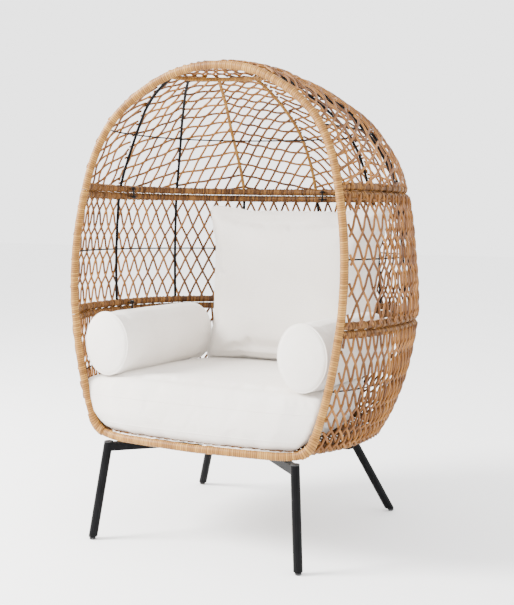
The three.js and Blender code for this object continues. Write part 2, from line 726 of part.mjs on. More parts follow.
function seatCushionRing(halfWidth, z, inset) {
  const { y1, back, front, bow } = SEAT_CUSHION;
  const points = [];
  const corners = 12;
  for (let i = 0; i <= corners; i++) {
    const angle = (i / corners) * Math.PI;
    const c = Math.cos(angle);
    const s = Math.sin(angle);
    const x = halfWidth * Math.sign(c) * Math.abs(c) ** (2 / 2.6);
    points.push([x, y1 + (back - inset - y1) * s ** (2 / 2.3)]);
  }
  const edge = 8;
  for (let i = 0; i <= edge; i++) {
    const share = -1 + (2 * i) / edge;
    const x = halfWidth * share;
    const round = 26 * Math.abs(share) ** 6;
    points.push([x, front + inset + round - bow * (1 - share * share)]);
  }
  return points.map(([x, y]) => new THREE.Vector3(x, y, seatPlane(z, y)));
}

function buildSeatCushion() {
  const { bottom, top } = SEAT_CUSHION;
  const insets = [34, 14, 2, 0, 4, 18];
  const rings = SEAT_PROFILE.map(([share, halfWidth], i) =>
    seatCushionRing(halfWidth, bottom + (top - bottom) * share, insets[i]));
  place('seat_cushion', loft(rings), FABRIC);
}

function buildBolster(name, side) {
  const { x, halfWidth, halfHeight, base, front, back } = BOLSTER;
  const sections = [
    [0, 0.62],
    [0.05, 0.88],
    [0.13, 1],
    [0.87, 1],
    [0.95, 0.88],
    [1, 0.62],
  ];
  const sides = 16;
  const rings = sections.map(([share, size]) => {
    const y = front + (back - front) * share;
    const ring = [];
    for (let i = 0; i < sides; i++) {
      const angle = (-i / sides) * 2 * Math.PI;
      const z = base + halfHeight + halfHeight * size * Math.sin(angle);
      ring.push(new THREE.Vector3(
        side * x + halfWidth * size * Math.cos(angle), y, seatPlane(z, y)));
    }
    return ring.reverse();
  });
  place(name, loft(rings.reverse()), FABRIC);
}

function buildBackCushion() {
  const { x, y, halfWidth, halfHeight, halfDepth, lean } = BACK_CUSHION;
  const sections = [
    [-1, 0.86],
    [-0.7, 0.955],
    [-0.2, 1],
    [0.2, 1],
    [0.7, 0.955],
    [1, 0.86],
  ];
  const sides = 24;
  const rings = sections.map(([depth, size]) => {
    const ring = [];
    for (let i = 0; i < sides; i++) {
      const angle = ((i + 0.5) / sides) * 2 * Math.PI;
      const c = Math.cos(angle);
      const s = Math.sin(angle);
      ring.push(new THREE.Vector3(
        halfWidth * size * Math.sign(c) * Math.abs(c) ** 0.42,
        halfDepth * depth,
        halfHeight * size * Math.sign(s) * Math.abs(s) ** 0.42,
      ));
    }
    return ring;
  });
  const geometry = loft(rings.reverse());
  geometry.rotateX(-THREE.MathUtils.degToRad(lean));
  const reach = halfHeight + 2;
  geometry.translate(x, y, seatPlane(BOLSTER.base, y - 40) + reach);
  place('back_cushion', geometry, FABRIC);
}

// ---------------------------------------------------------------- assembly

buildDome();
buildMiddle();
buildSeat();
placeJointBolts('upper_joint_bolt', UPPER_JOINT);
placeJointBolts('lower_joint_bolt', LOWER_JOINT);
buildStand();
buildSeatCushion();
buildBolster('bolster_left', -1);
buildBolster('bolster_right', 1);
buildBackCushion();

export default chair;
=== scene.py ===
"""A free-standing wicker egg chair: woven lattice, wound cane, powder-coated steel and stuffed
cushions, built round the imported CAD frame. Metres, +Z up, the open front faces -Y."""

import math

import bmesh
import bpy
import numpy as np
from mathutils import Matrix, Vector


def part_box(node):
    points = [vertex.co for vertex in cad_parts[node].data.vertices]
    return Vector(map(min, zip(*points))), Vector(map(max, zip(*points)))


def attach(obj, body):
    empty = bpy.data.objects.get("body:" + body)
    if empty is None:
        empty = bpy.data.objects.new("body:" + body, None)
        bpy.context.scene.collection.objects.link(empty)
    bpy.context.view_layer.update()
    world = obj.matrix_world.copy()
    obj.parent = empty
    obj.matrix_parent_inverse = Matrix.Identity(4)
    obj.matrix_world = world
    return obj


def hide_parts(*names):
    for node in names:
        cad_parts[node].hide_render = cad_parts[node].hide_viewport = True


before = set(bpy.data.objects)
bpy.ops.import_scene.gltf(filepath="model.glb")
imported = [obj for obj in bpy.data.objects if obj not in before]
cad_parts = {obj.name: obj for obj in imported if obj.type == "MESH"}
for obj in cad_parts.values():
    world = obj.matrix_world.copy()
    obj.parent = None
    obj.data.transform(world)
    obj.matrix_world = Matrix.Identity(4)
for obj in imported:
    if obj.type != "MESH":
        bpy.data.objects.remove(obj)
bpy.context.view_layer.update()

# ---------------- the egg's form, as in the frame

# Each row is a level: height on the front hoop, hoop half width, widest half width, depth, squareness
# of the plan curve, and fall towards the back for each metre.
LEVELS = np.array([
    [0.350, 0.363, 0.426, 0.706, 2.24, 0.035],
    [0.430, 0.397, 0.464, 0.750, 2.26, 0.034],
    [0.550, 0.427, 0.499, 0.790, 2.28, 0.033],
    [0.698, 0.451, 0.522, 0.812, 2.28, 0.031],
    [0.800, 0.458, 0.523, 0.808, 2.27, 0.030],
    [0.896, 0.457, 0.517, 0.792, 2.25, 0.030],
    [0.990, 0.448, 0.510, 0.777, 2.18, 0.030],
    [1.088, 0.431, 0.497, 0.750, 2.10, 0.030],
    [1.168, 0.411, 0.470, 0.702, 2.18, 0.031],
    [1.244, 0.380, 0.427, 0.631, 2.32, 0.031],
    [1.309, 0.337, 0.373, 0.549, 2.40, 0.028],
    [1.363, 0.277, 0.303, 0.452, 2.35, 0.018],
    [1.405, 0.211, 0.230, 0.348, 2.25, 0.0],
    [1.436, 0.142, 0.153, 0.238, 2.15, -0.03],
    [1.453, 0.069, 0.074, 0.120, 2.10, -0.05],
    [1.458, 0.003, 0.0033, 0.006, 2.05, -0.05],
])
SHIFT = -0.3599  # from the front hoop's plane to the middle of the footprint
CROWN = 1.458
UPPER_JOINT = 1.088
LOWER_JOINT = 0.698
RAIL_SPACING = 0.024
BASE_LEVEL = 0.350
SEAM = 0.001
RIB_ANGLES = np.radians([3, 33, 60, 87, 117, 147, 177])
RIB_ENDS = np.radians([-9, 18, 49, 86, 126, 162, 189])  # where the dome's ribs meet the crown ring
CROWN_RING = 1.432
CROWN_WRAP = 0.007
WIRE_LEVELS = {"dome": 1.279, "middle": 0.896, "seat": 0.520}

HOOP_ROD = 0.008
HOOP_WRAP = 0.0125
RAIL_ROD = 0.007
RAIL_WRAP = 0.0113
RIB = 0.0046  # ribs and wires are drawn a little fuller than in the frame
RIB_WINDING = 0.0056
WIRE = 0.0024
STRAND = 0.0040

UPPER_TOP = UPPER_JOINT + RAIL_SPACING / 2
UPPER_BOTTOM = UPPER_JOINT - RAIL_SPACING / 2
LOWER_TOP = LOWER_JOINT + RAIL_SPACING / 2
LOWER_BOTTOM = LOWER_JOINT - RAIL_SPACING / 2

FRONT_RAIL_HEIGHT = 0.325
FRONT_RAIL_BOW = 0.030
FRONT_RAIL_HALF = 0.322  # where the front rail starts to turn up into the hoop
DECK_TOP = 0.341
DECK_THICKNESS = 0.005
SEAT_FALL = 0.035
SEAT_FRONT = -0.030


def catmull(points, at):
    """Uniform Catmull-Rom through rows of points, at shares from 0 to 1."""
    spans = len(points) - 1
    x = np.clip(at, 0, 1) * spans
    i = np.minimum(x.astype(int), spans - 1)
    f = (x - i)[:, None]
    padded = np.vstack([2 * points[0] - points[1], points, 2 * points[-1] - points[-2]])
    a, b, c, d = padded[i], padded[i + 1], padded[i + 2], padded[i + 3]
    m1 = (c - a) / 2
    m2 = (d - b) / 2
    return b + m1 * f + (3 * c - 3 * b - 2 * m1 - m2) * f**2 + (2 * b - 2 * c + m1 + m2) * f**3


LEVEL_SHARES = np.linspace(0, 1, 3001)
LEVEL_TABLE = catmull(LEVELS, LEVEL_SHARES)


def level_of(z):
    return np.interp(z, LEVEL_TABLE[:, 0], LEVEL_SHARES)


def form(level):
    """Height, hoop half width, widest half width, depth, squareness and fall at each level."""
    return [np.interp(level, LEVEL_SHARES, LEVEL_TABLE[:, k]) for k in range(6)]


def hoop_lean(z):
    """The hoop leans back as it rises, and more towards the top."""
    rise = z - 0.9
    return 0.090 * rise + 0.066 * rise * rise


def start_angle(level):
    _, w, a, _, n, _ = form(level)
    flare = (1 - (w / a) ** n) ** (1 / n)
    return -np.arctan2(flare ** (n / 2), (w / a) ** (n / 2))


def egg_point(level, angle):
    """Points of the egg at levels and plan angles, from +X round the back to -X."""
    level, angle = np.broadcast_arrays(np.asarray(level, float), np.asarray(angle, float))
    z, w, a, depth, n, fall = form(level)
    flare = (1 - (w / a) ** n) ** (1 / n)
    b = depth / (1 + flare)
    c, s = np.cos(angle), np.sin(angle)
    back = b * (flare + np.sign(s) * np.abs(s) ** (2 / n))
    x = a * np.sign(c) * np.abs(c) ** (2 / n)
    return np.stack([x, hoop_lean(z) + back + SHIFT, z - fall * back], -1)


def unit(v):
    return v / np.maximum(np.linalg.norm(v, axis=-1, keepdims=True), 1e-9)


def egg_normal(level, angle):
    step = 0.004
    along = egg_point(level, angle + step) - egg_point(level, angle - step)
    up = egg_point(np.minimum(level + step, 1), angle) - egg_point(np.maximum(level - step, 0), angle)
    return unit(np.cross(along, up))


def hoop_point(z, side):
    """The hoop's centre line at heights z, on the side whose sign is side."""
    z = np.asarray(z, float)
    w = np.interp(z, LEVEL_TABLE[:, 0], LEVEL_TABLE[:, 1])
    return np.stack([side * w, hoop_lean(z) + SHIFT, z], -1)


# ---------------- mesh tools


def resample(points, spacing):
    """Points at equal steps along a polyline, at about that spacing."""
    points = np.asarray(points, float)
    steps = np.linalg.norm(np.diff(points, axis=0), axis=1)
    length = np.concatenate([[0], np.cumsum(steps)])
    count = max(2, int(round(length[-1] / spacing)) + 1)
    at = np.linspace(0, length[-1], count)
    return np.stack([np.interp(at, length, points[:, k]) for k in range(points.shape[1])], -1)


def smooth_curve(points, spacing):
    """A Catmull-Rom curve through a few points, sampled evenly."""
    points = np.asarray(points, float)
    return resample(catmull(points, np.linspace(0, 1, 40 * len(points))), spacing)


def tangents(points):
    return unit(np.gradient(points, axis=0))


def transported(points, first):
    """Normals carried along a curve without twist, starting near the direction first."""
    t = tangents(points)
    normal = np.asarray(first, float)
    found = []
    for direction in t:
        normal = normal - direction * normal.dot(direction)
        normal = normal / np.linalg.norm(normal)
        found.append(normal)
    return np.array(found)


def add_object(name, data):
    made = bpy.data.objects.new(name, data)
    bpy.context.scene.collection.objects.link(made)
    return made


class Soup:
    """Vertices, faces and per-vertex values gathered from many swept pieces into one mesh."""

    def __init__(self):
        self.verts, self.faces, self.values = [], [], []
        self.count = 0

    def sweep(self, points, normals, shape, values=None, closed=False):
        """shape holds (across, outward) offsets: one ring for all points, or one for each point."""
        points = np.asarray(points, float)
        normals = np.asarray(normals, float)
        across = unit(np.cross(tangents(points), normals))
        outward = unit(np.cross(across, tangents(points)))
        shape = np.broadcast_to(shape, (len(points),) + np.shape(shape)[-2:])
        rings = points[:, None] + across[:, None] * shape[..., :1] + outward[:, None] * shape[..., 1:]
        sides = shape.shape[1]
        rows = len(points)
        self.verts.append(rings.reshape(-1, 3))
        base = self.count
        i = np.arange(rows if closed else rows - 1)[:, None]
        j = np.arange(sides)[None]
        nxt, up = (j + 1) % sides, (i + 1) % rows
        quads = np.stack([i * sides + j, i * sides + nxt, up * sides + nxt, up * sides + j], -1)
        self.faces.extend((quads.reshape(-1, 4) + base).tolist())
        if not closed:
            self.faces.append(list(range(base + sides - 1, base - 1, -1)))
            last = base + (rows - 1) * sides
            self.faces.append(list(range(last, last + sides)))
        if values is None:
            values = np.zeros((rows, sides))
        self.values.append(np.broadcast_to(values, (rows, sides)).reshape(-1))
        self.count += rows * sides
        return self

    def build(self, name, material):
        mesh = bpy.data.meshes.new(name)
        mesh.from_pydata(np.concatenate(self.verts).tolist(), [], self.faces)
        value = mesh.attributes.new("tone", "FLOAT", "POINT")
        value.data.foreach_set("value", np.concatenate(self.values).astype(np.float32))
        mesh.polygons.foreach_set("use_smooth", [True] * len(mesh.polygons))
        mesh.materials.append(material)
        fixer = bmesh.new()
        fixer.from_mesh(mesh)
        bmesh.ops.recalc_face_normals(fixer, faces=fixer.faces)
        fixer.to_mesh(mesh)
        fixer.free()
        return add_object(name, mesh)


def circle(radius, sides, flatten=1.0):
    angle = np.linspace(0, 2 * math.pi, sides, endpoint=False)
    return np.stack([radius * np.cos(angle), radius * flatten * np.sin(angle)], -1)


def finish_piece(piece, slot, *nodes, body="chair"):
    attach(piece, body)
    if nodes:
        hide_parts(*nodes)
    return piece


# ---------------- materials


class Graph:
    """A material's node tree, with short calls for the nodes that the finishes share."""

    def __init__(self, name):
        self.material = bpy.data.materials.new(name)
        self.material.use_nodes = True
        self.tree = self.material.node_tree
        self.shader = self.tree.nodes["Principled BSDF"]
        self.bumped = None

    def fill(self, socket, value):
        """A socket takes a link, a number or a colour."""
        if isinstance(value, bpy.types.NodeSocket):
            self.tree.links.new(value, socket)
        else:
            socket.default_value = (*value, 1) if isinstance(value, tuple) else value

    def node(self, kind, settings=None, **inputs):
        made = self.tree.nodes.new("ShaderNode" + kind)
        for key, value in (settings or {}).items():
            setattr(made, key, value)
        for key, value in inputs.items():
            numbered = key[0] == "i" and key[1:].isdigit()
            self.fill(made.inputs[int(key[1:]) if numbered else key], value)
        return made

    def math(self, operation, a, b=0.0):
        return self.node("Math", {"operation": operation}, i0=a, i1=b).outputs[0]

    def coordinates(self):
        return self.node("TexCoord").outputs["Object"]

    def noise(self, scale, detail=4.0, vector=None):
        vector = vector or self.coordinates()
        return self.node("TexNoise", Vector=vector, Scale=scale, Detail=detail).outputs["Fac"]

    def ramp(self, value, *stops):
        made = self.node("ValToRGB", i0=value)
        elements = made.color_ramp.elements
        while len(elements) < len(stops):
            elements.new(0.5)
        for element, (place, color) in zip(elements, stops):
            element.position = place
            element.color = (*color, 1)
        return made.outputs["Color"]

    def mix(self, factor, a, b, blend="MIX"):
        made = self.node("Mix", {"data_type": "RGBA", "blend_type": blend})
        for place, value in ((0, factor), (6, a), (7, b)):
            self.fill(made.inputs[place], value)
        return made.outputs[2]

    def tone(self):
        return self.node("Attribute", {"attribute_name": "tone"}).outputs["Fac"]

    def bump(self, height, strength, distance):
        inputs = {"Height": height, "Strength": strength, "Distance": distance}
        if self.bumped is not None:
            inputs["Normal"] = self.bumped
        self.bumped = self.node("Bump", **inputs).outputs["Normal"]

    def done(self, color, roughness, specular=0.5, sheen=0.0):
        inputs = {"Base Color": color, "Roughness": roughness}
        inputs.update({"Specular IOR Level": specular, "Sheen Weight": sheen})
        if self.bumped is not None:
            inputs["Normal"] = self.bumped
        for key, value in inputs.items():
            self.fill(self.shader.inputs[key], value)
        return self.material


def cane(name, dark, middle, light, streak=0.35):
    """Satin wicker strip: each winding or strand has its own tone, with fibres, dirt and painted shade
    darkening the gaps between windings.
    """
    g = Graph(name)
    tone = g.tone()
    each = g.node("TexWhiteNoise", {"noise_dimensions": "1D"}, W=g.math("FLOOR", tone)).outputs["Value"]
    # painted shade: the colour darkens towards each gap between windings, where the grooves would be in
    # shade
    from_shaded_gap = g.math("ABSOLUTE", g.math("SUBTRACT", g.math("FRACT", tone), 0.5))
    painted_gap_shade = g.ramp(from_shaded_gap, (0.30, (1, 1, 1)), (0.46, (0.30, 0.22, 0.15)))
    patches = g.noise(9.0, 3.0)
    fibres = g.noise(420.0, 2.0)
    blend = g.math("ADD", g.math("MULTIPLY", each, streak), g.math("MULTIPLY", patches, 1 - streak))
    base = g.ramp(blend, (0.22, dark), (0.5, middle), (0.8, light))
    grain = g.ramp(fibres, (0.3, (0.74, 0.69, 0.63)), (0.7, (1, 1, 1)))
    color = g.mix(0.6, base, grain, "MULTIPLY")
    color = g.mix(1.0, color, painted_gap_shade, "MULTIPLY")
    g.bump(fibres, 0.35, 0.0006)
    rough = g.node("MapRange", Value=fibres, i3=0.42, i4=0.62).outputs["Result"]
    return g.done(color, rough, specular=0.3)


def powder_coat(name, color, roughness=0.42):
    g = Graph(name)
    speck = g.noise(900.0, 2.0)
    wear = g.noise(14.0, 5.0)
    base = g.ramp(wear, (0.3, tuple(0.8 * c for c in color)), (0.75, tuple(1.5 * c for c in color)))
    g.bump(speck, 0.25, 0.0004)
    rough = g.node("MapRange", Value=wear, i3=roughness - 0.06, i4=roughness + 0.08).outputs["Result"]
    return g.done(base, rough, specular=0.06)


def cloth_finish(name):
    """Off-white outdoor cloth: a fine plain weave with slubs and faint soft shading."""
    g = Graph(name)
    place = g.coordinates()
    threads = []
    for axis in ("X", "Y", "Z"):
        wave = g.node("TexWave", {"bands_direction": axis}, Vector=place, Scale=260.0, Distortion=0.6)
        threads.append(wave.outputs["Fac"])
    weave = g.math("MULTIPLY", g.math("ADD", g.math("ADD", threads[0], threads[1]), threads[2]), 0.333)
    slub = g.noise(95.0, 3.0)
    soft = g.noise(5.0, 3.0)
    base = g.ramp(soft, (0.3, (0.74, 0.70, 0.65)), (0.7, (0.80, 0.765, 0.72)))
    color = g.mix(0.25, base, g.ramp(weave, (0.2, (0.9, 0.88, 0.86)), (0.8, (1, 1, 1))), "MULTIPLY")
    color = g.mix(0.12, color, g.ramp(slub, (0.35, (0.85, 0.82, 0.78)), (0.65, (1, 1, 1))), "MULTIPLY")
    g.bump(g.noise(16.0, 3.0), 0.25, 0.004)
    g.bump(weave, 0.3, 0.0006)
    return g.done(color, 0.9, specular=0.2, sheen=0.25)


def moulded(name):
    g = Graph(name)
    grain = g.noise(700.0, 3.0)
    base = g.ramp(grain, (0.3, (0.008, 0.008, 0.009)), (0.7, (0.02, 0.02, 0.021)))
    g.bump(grain, 0.3, 0.0003)
    return g.done(base, 0.55)


HOOP_CANE = cane("hoop_cane", (0.18, 0.073, 0.009), (0.32, 0.150, 0.024), (0.46, 0.25, 0.052))
RAIL_CANE = cane("rail_cane", (0.065, 0.024, 0.004), (0.155, 0.064, 0.012), (0.29, 0.135, 0.032), 0.6)
STRAND_CANE = cane("strand_cane", (0.080, 0.027, 0.004), (0.185, 0.070, 0.011), (0.32, 0.138, 0.026), 0.45)
DECK_CANE = cane("deck_cane", (0.08, 0.03, 0.007), (0.17, 0.07, 0.02), (0.27, 0.125, 0.04))
STEEL = powder_coat("powder_coated_steel", (0.0035, 0.0035, 0.004))
FASTENER = powder_coat("black_fastener", (0.02, 0.02, 0.021), 0.34)
PLASTIC = moulded("moulded_plastic")
CLOTH = cloth_finish("cushion_cloth")

# ---------------- wound cane

HOOP_PITCH = 0.0066
RAIL_PITCH = 0.0048
RINGS_PER_WINDING = 4
KNOT_SPACING = 0.041
KNOT_STRAND = 0.0012


def wind(soup, points, first_normal, radius, pitch, sides=14, depth=0.0009, tilt=0.35):
    """Cane wound round a curve: a ridge for each turn, each leaning a little, as a helix does."""
    points = resample(points, pitch / RINGS_PER_WINDING)
    normals = transported(points, first_normal)
    along = np.arange(len(points)) / RINGS_PER_WINDING
    angle = np.linspace(0, 2 * math.pi, sides, endpoint=False)
    phase = along[:, None] + tilt * np.sin(angle)[None]
    uneven = 0.00025 * np.sin(2.399 * np.floor(phase))
    ridge = radius - depth * (1 - np.abs(np.sin(math.pi * phase)) ** 0.6) + uneven
    shape = np.stack([ridge * np.cos(angle), ridge * np.sin(angle)], -1)
    soup.sweep(points, normals, shape, phase + soup.count)


def level_curve(height, inset=0.0, margin=0.0, count=160):
    level = level_of(height)
    _, _, a, *_ = form(level)
    first = start_angle(level) + margin / a
    angle = np.linspace(first, math.pi - first, count)
    levels = np.full(count, level)
    return egg_point(levels, angle) - inset * egg_normal(levels, angle)


def arch_curve():
    foot = UPPER_JOINT + SEAM / 2
    z = foot + (CROWN - foot) * np.sin(np.linspace(0, math.pi / 2, 80))
    right = hoop_point(z, 1)
    right[-1, 0] = 0
    return np.vstack([right, (right * [-1, 1, 1])[-2::-1]])


def post_curve(side):
    return hoop_point(np.linspace(LOWER_JOINT + SEAM / 2, UPPER_JOINT - SEAM / 2, 40), side)


def front_loop():
    """The hoop's lower part: down one side, round a tight corner and along the front rail."""
    half = [hoop_point(z, 1) for z in np.linspace(LOWER_JOINT - SEAM / 2, 0.430, 5)]
    for x, z in ((0.384, 0.390), (0.373, 0.363), (0.352, 0.341), (FRONT_RAIL_HALF, 0.330)):
        half.append([x, hoop_lean(z) + SHIFT, z])
    for x in (0.270, 0.180, 0.090):
        y = hoop_lean(FRONT_RAIL_HEIGHT) - FRONT_RAIL_BOW * (1 - (x / FRONT_RAIL_HALF) ** 2) + SHIFT
        half.append([x, y, FRONT_RAIL_HEIGHT])
    middle = [0, hoop_lean(FRONT_RAIL_HEIGHT) - FRONT_RAIL_BOW + SHIFT, FRONT_RAIL_HEIGHT - 0.001]
    half = np.array(half)
    return np.vstack([half, [middle], (half * [-1, 1, 1])[::-1]])


def build_hoop_wraps():
    front = (0, -1, 0)
    soup = Soup()
    wind(soup, arch_curve(), front, HOOP_WRAP, HOOP_PITCH)
    finish_piece(soup.build("arch_winding", HOOP_CANE), "hoop_cane", "dome_arch_wrap")
    for side, word in ((1, "right"), (-1, "left")):
        soup = Soup()
        wind(soup, post_curve(side), front, HOOP_WRAP, HOOP_PITCH)
        piece = soup.build("post_winding_" + word, HOOP_CANE)
        finish_piece(piece, "hoop_cane", "middle_post_wrap_" + word)
    soup = Soup()
    loop = smooth_curve(front_loop(), 0.004)
    wind(soup, loop, front, HOOP_WRAP, HOOP_PITCH)
    for side in (1, -1):
        wind_corner(soup, loop, side)
    finish_piece(soup.build("front_loop_winding", HOOP_CANE), "hoop_cane", "seat_hoop_wrap")


def wind_corner(soup, loop, side):
    """A second layer of cane over the corner where the base rail is lashed to the hoop."""
    near = [p for p in loop if 0.338 < side * p[0] < 0.385 and p[2] < 0.392]
    wind(soup, near, (0, -1, 0), HOOP_WRAP + 0.0026, 0.0085, depth=0.002, tilt=0.8)


def build_rail_wraps():
    rails = {
        "dome_rail_wrap": UPPER_TOP,
        "middle_upper_rail_wrap": UPPER_BOTTOM,
        "middle_lower_rail_wrap": LOWER_TOP,
        "seat_upper_rail_wrap": LOWER_BOTTOM,
        "seat_base_rail_wrap": BASE_LEVEL,
    }
    for node, height in rails.items():
        soup = Soup()
        curve = level_curve(height)
        wind(soup, curve, (0, 0, 1), RAIL_WRAP, RAIL_PITCH, sides=12, depth=0.0008, tilt=0.2)
        knots(soup, curve)
        finish_piece(soup.build(node.replace("_wrap", "_winding"), RAIL_CANE), "rail_cane", node)


def knots(soup, curve):
    """Loops of strand round a rail, two by two, where the lattice is tied on."""
    points = resample(curve, KNOT_SPACING / 8)
    directions = tangents(points)
    for i in range(8, len(points) - 8, 8):
        for shift in (-1, 1):
            p = points[i + shift]
            t = directions[i + shift]
            up = unit(np.cross(np.cross(t, [0, 0, 1.0]), t))
            side = np.cross(t, up)
            angle = np.linspace(0, 2 * math.pi, 18, endpoint=False)
            radius = RAIL_WRAP + 0.0006
            lean = 0.0022 * shift * np.cos(angle)
            turn = np.outer(np.cos(angle), up) + np.outer(np.sin(angle), side)
            ring = p + radius * turn + np.outer(lean, t)
            soup.sweep(ring, ring - p, circle(KNOT_STRAND, 6), soup.count + 0.5, closed=True)


# ---------------- lattice


class Patch:
    """A stretch of the egg between two ribs or hoops, with places (across, up) from 0 to 1."""

    def __init__(self, levels, angles):
        """levels and angles are grids: rows go up, columns go across."""
        self.points = egg_point(levels, angles)
        self.normals = egg_normal(levels, angles)
        widths = np.linalg.norm(np.diff(self.points, axis=1), axis=2).sum(1)
        heights = np.linalg.norm(np.diff(self.points, axis=0), axis=2).sum(0)
        self.widths = widths
        self.width = float(widths[0])
        self.height = float(heights.mean())

    def at(self, across, up):
        rows, columns = self.points.shape[:2]
        y = np.clip(up, 0, 1) * (rows - 1)
        x = np.clip(across, 0, 1) * (columns - 1)
        i = np.minimum(y.astype(int), rows - 2)
        j = np.minimum(x.astype(int), columns - 2)
        fy, fx = (y - i)[:, None], (x - j)[:, None]
        found = []
        for grid in (self.points, self.normals):
            low = grid[i, j] * (1 - fx) + grid[i, j + 1] * fx
            high = grid[i + 1, j] * (1 - fx) + grid[i + 1, j + 1] * fx
            found.append(low * (1 - fy) + high * fy)
        return found[0], unit(found[1])


def band(low, high, margin=0.010, rows=24, columns=240):
    """The whole way round between two heights on the hoop, in equal steps along each level."""
    levels, angles = [], []
    for level in np.linspace(level_of(low), level_of(high), rows):
        _, _, a, *_ = form(level)
        first = start_angle(level) + margin / a
        dense = np.linspace(first, math.pi - first, 500)
        points = egg_point(np.full(500, level), dense)
        length = np.concatenate([[0], np.cumsum(np.linalg.norm(np.diff(points, axis=0), axis=1))])
        angles.append(np.interp(np.linspace(0, length[-1], columns), length, dense))
        levels.append(np.full(columns, level))
    return Patch(np.array(levels), np.array(angles))


SWING = 0.62  # how far a strand weaves in and out, in strand radii
OUTSIDE = RIB + (1 + SWING) * STRAND + 0.0004  # the lattice lies on the outside of the ribs
STRAND_STEP = 0.007
SHORTEST_STRAND = 0.014
MIDDLE_CELL, MIDDLE_SLANTS = 0.044, (0.52, -0.52)
SEAT_CELL, SEAT_SLANTS = 0.029, (0.15, -0.66)
WIRE_SHARE = 0.5  # how far up a section its wire lies


def diamonds(name, patch, node, width, slants):
    """Two families of strands that meet on the wire; slants are sideways metres for each metre up."""
    soup = Soup()
    run, rise = patch.width, patch.height
    for second, slant in enumerate(slants):
        other = slants[1 - second]
        for k in range(-20, int(run / width) + 20):
            up = np.linspace(0, 1, 60)
            across = ((k + 0.25) * width + slant * (up - WIRE_SHARE) * rise) / run
            inside = (across >= 0) & (across <= 1)

            def count(x, y, s=other):
                return (x * run - s * (y - WIRE_SHARE) * rise) / width - 0.25

            lay_path(soup, patch, across[inside], up[inside], count, k + second)
    return finish_piece(soup.build(name, STRAND_CANE), "wickerwork", node)


DOME_LOW = level_of(UPPER_TOP)
DOME_HIGH = level_of(CROWN_RING)
ARCH_MARGIN = 0.006
PANEL_ROWS = 40
PANEL_COLUMNS = 12
ROWS_OF_NODES = 13.0
ROW_POWER = 1.2  # draws the rows of nodes together towards the crown
STEEP_SPACING = 1 / 6.7  # between steep strands, in widths of the panel's foot


def dome_line(i, share):
    """Levels and angles along a dome rib, from the rail to the crown ring; -1 and 7 are the arch."""
    levels = DOME_LOW + (DOME_HIGH - DOME_LOW) * share
    if i < 0:
        return levels, start_angle(levels) + ARCH_MARGIN / form(levels)[2]
    if i > 6:
        return levels, math.pi - start_angle(levels) - ARCH_MARGIN / form(levels)[2]
    return levels, RIB_ANGLES[i] + (RIB_ENDS[i] - RIB_ANGLES[i]) * share**2.5


# For each panel from the arch's left side to its right side: how far a shallow strand climbs in the
# panel, as a share of its height, and how far a steep strand leans, in widths of the panel's foot.
DOME_PANELS = [
    (0.26, 0.2), (0.17, 0.6), (0.075, 0.98), (-0.10, 1.34),
    (0.10, -1.34), (-0.075, -0.98), (-0.17, -0.6), (-0.26, -0.2),
]


def panel_patch(left, right):
    """The stretch of the dome between two of its lines, left to right as seen from the front."""
    share = np.linspace(0, 1, PANEL_ROWS)
    levels, left_angles = dome_line(left, share)
    right_angles = dome_line(right, share)[1]
    part = np.linspace(0, 1, PANEL_COLUMNS)[None]
    angles = left_angles[:, None] * (1 - part) + right_angles[:, None] * part
    return Patch(np.broadcast_to(levels[:, None], angles.shape), angles)


def build_dome_lattice():
    soup = Soup()
    for p, (rise, lean) in enumerate(DOME_PANELS):
        patch = panel_patch(7 - p, 6 - p)
        share = np.linspace(0, 1, PANEL_ROWS)
        ratio = patch.widths / patch.widths[0]

        def drift(up):
            return lean * (up + 0.35 * up * up)

        def steep_count(across, up):
            return ((across - 0.5) * np.interp(up, share, ratio) - drift(up)) / STEEP_SPACING

        def shallow_count(across, up):
            return (1 - (1 - up) ** (1 / ROW_POWER) - rise * across) * ROWS_OF_NODES

        for k in range(-6, int(ROWS_OF_NODES) + 6):
            across = np.linspace(0, 1, 40)
            rows = (k + 0.35) / ROWS_OF_NODES + rise * across
            up = 1 - np.clip(1 - rows, 0, 2) ** ROW_POWER
            inside = (rows > 0) & (rows < 1)
            lay_path(soup, patch, across[inside], up[inside], steep_count, k)
        for k in range(-20, 21):
            up = np.linspace(0, 1, 120)
            across = 0.5 + ((k + 0.5) * STEEP_SPACING + drift(up)) / np.interp(up, share, ratio)
            inside = (across > 0) & (across < 1)
            lay_path(soup, patch, across[inside], up[inside], shallow_count, k + 1)
    crown_cap(soup)
    finish_piece(soup.build("dome_lattice", STRAND_CANE), "wickerwork", "dome_weave")


CAP_STRANDS = 17
CAP_SLANT = 0.35


def crown_cap(soup):
    """Strands close the crown, from the ring in to the middle of the arch."""
    share = np.linspace(0, 0.93, 14)
    levels = DOME_HIGH + (1 - DOME_HIGH) * share
    first = start_angle(levels) + ARCH_MARGIN / form(levels)[2]
    part = np.linspace(0, 1, 60)[None]
    angles = (math.pi - first)[:, None] * (1 - part) + first[:, None] * part
    patch = Patch(np.broadcast_to(levels[:, None], angles.shape), angles)
    for sign in (1, -1):
        for k in range(-8, 25):
            up = np.linspace(0, 1, 40)
            across = (k + 0.5) / CAP_STRANDS + sign * CAP_SLANT * up
            inside = (across > 0) & (across < 1)

            def count(x, y, s=sign):
                return (x + s * CAP_SLANT * y) * CAP_STRANDS

            lay_path(soup, patch, across[inside], up[inside], count, k + (sign > 0))


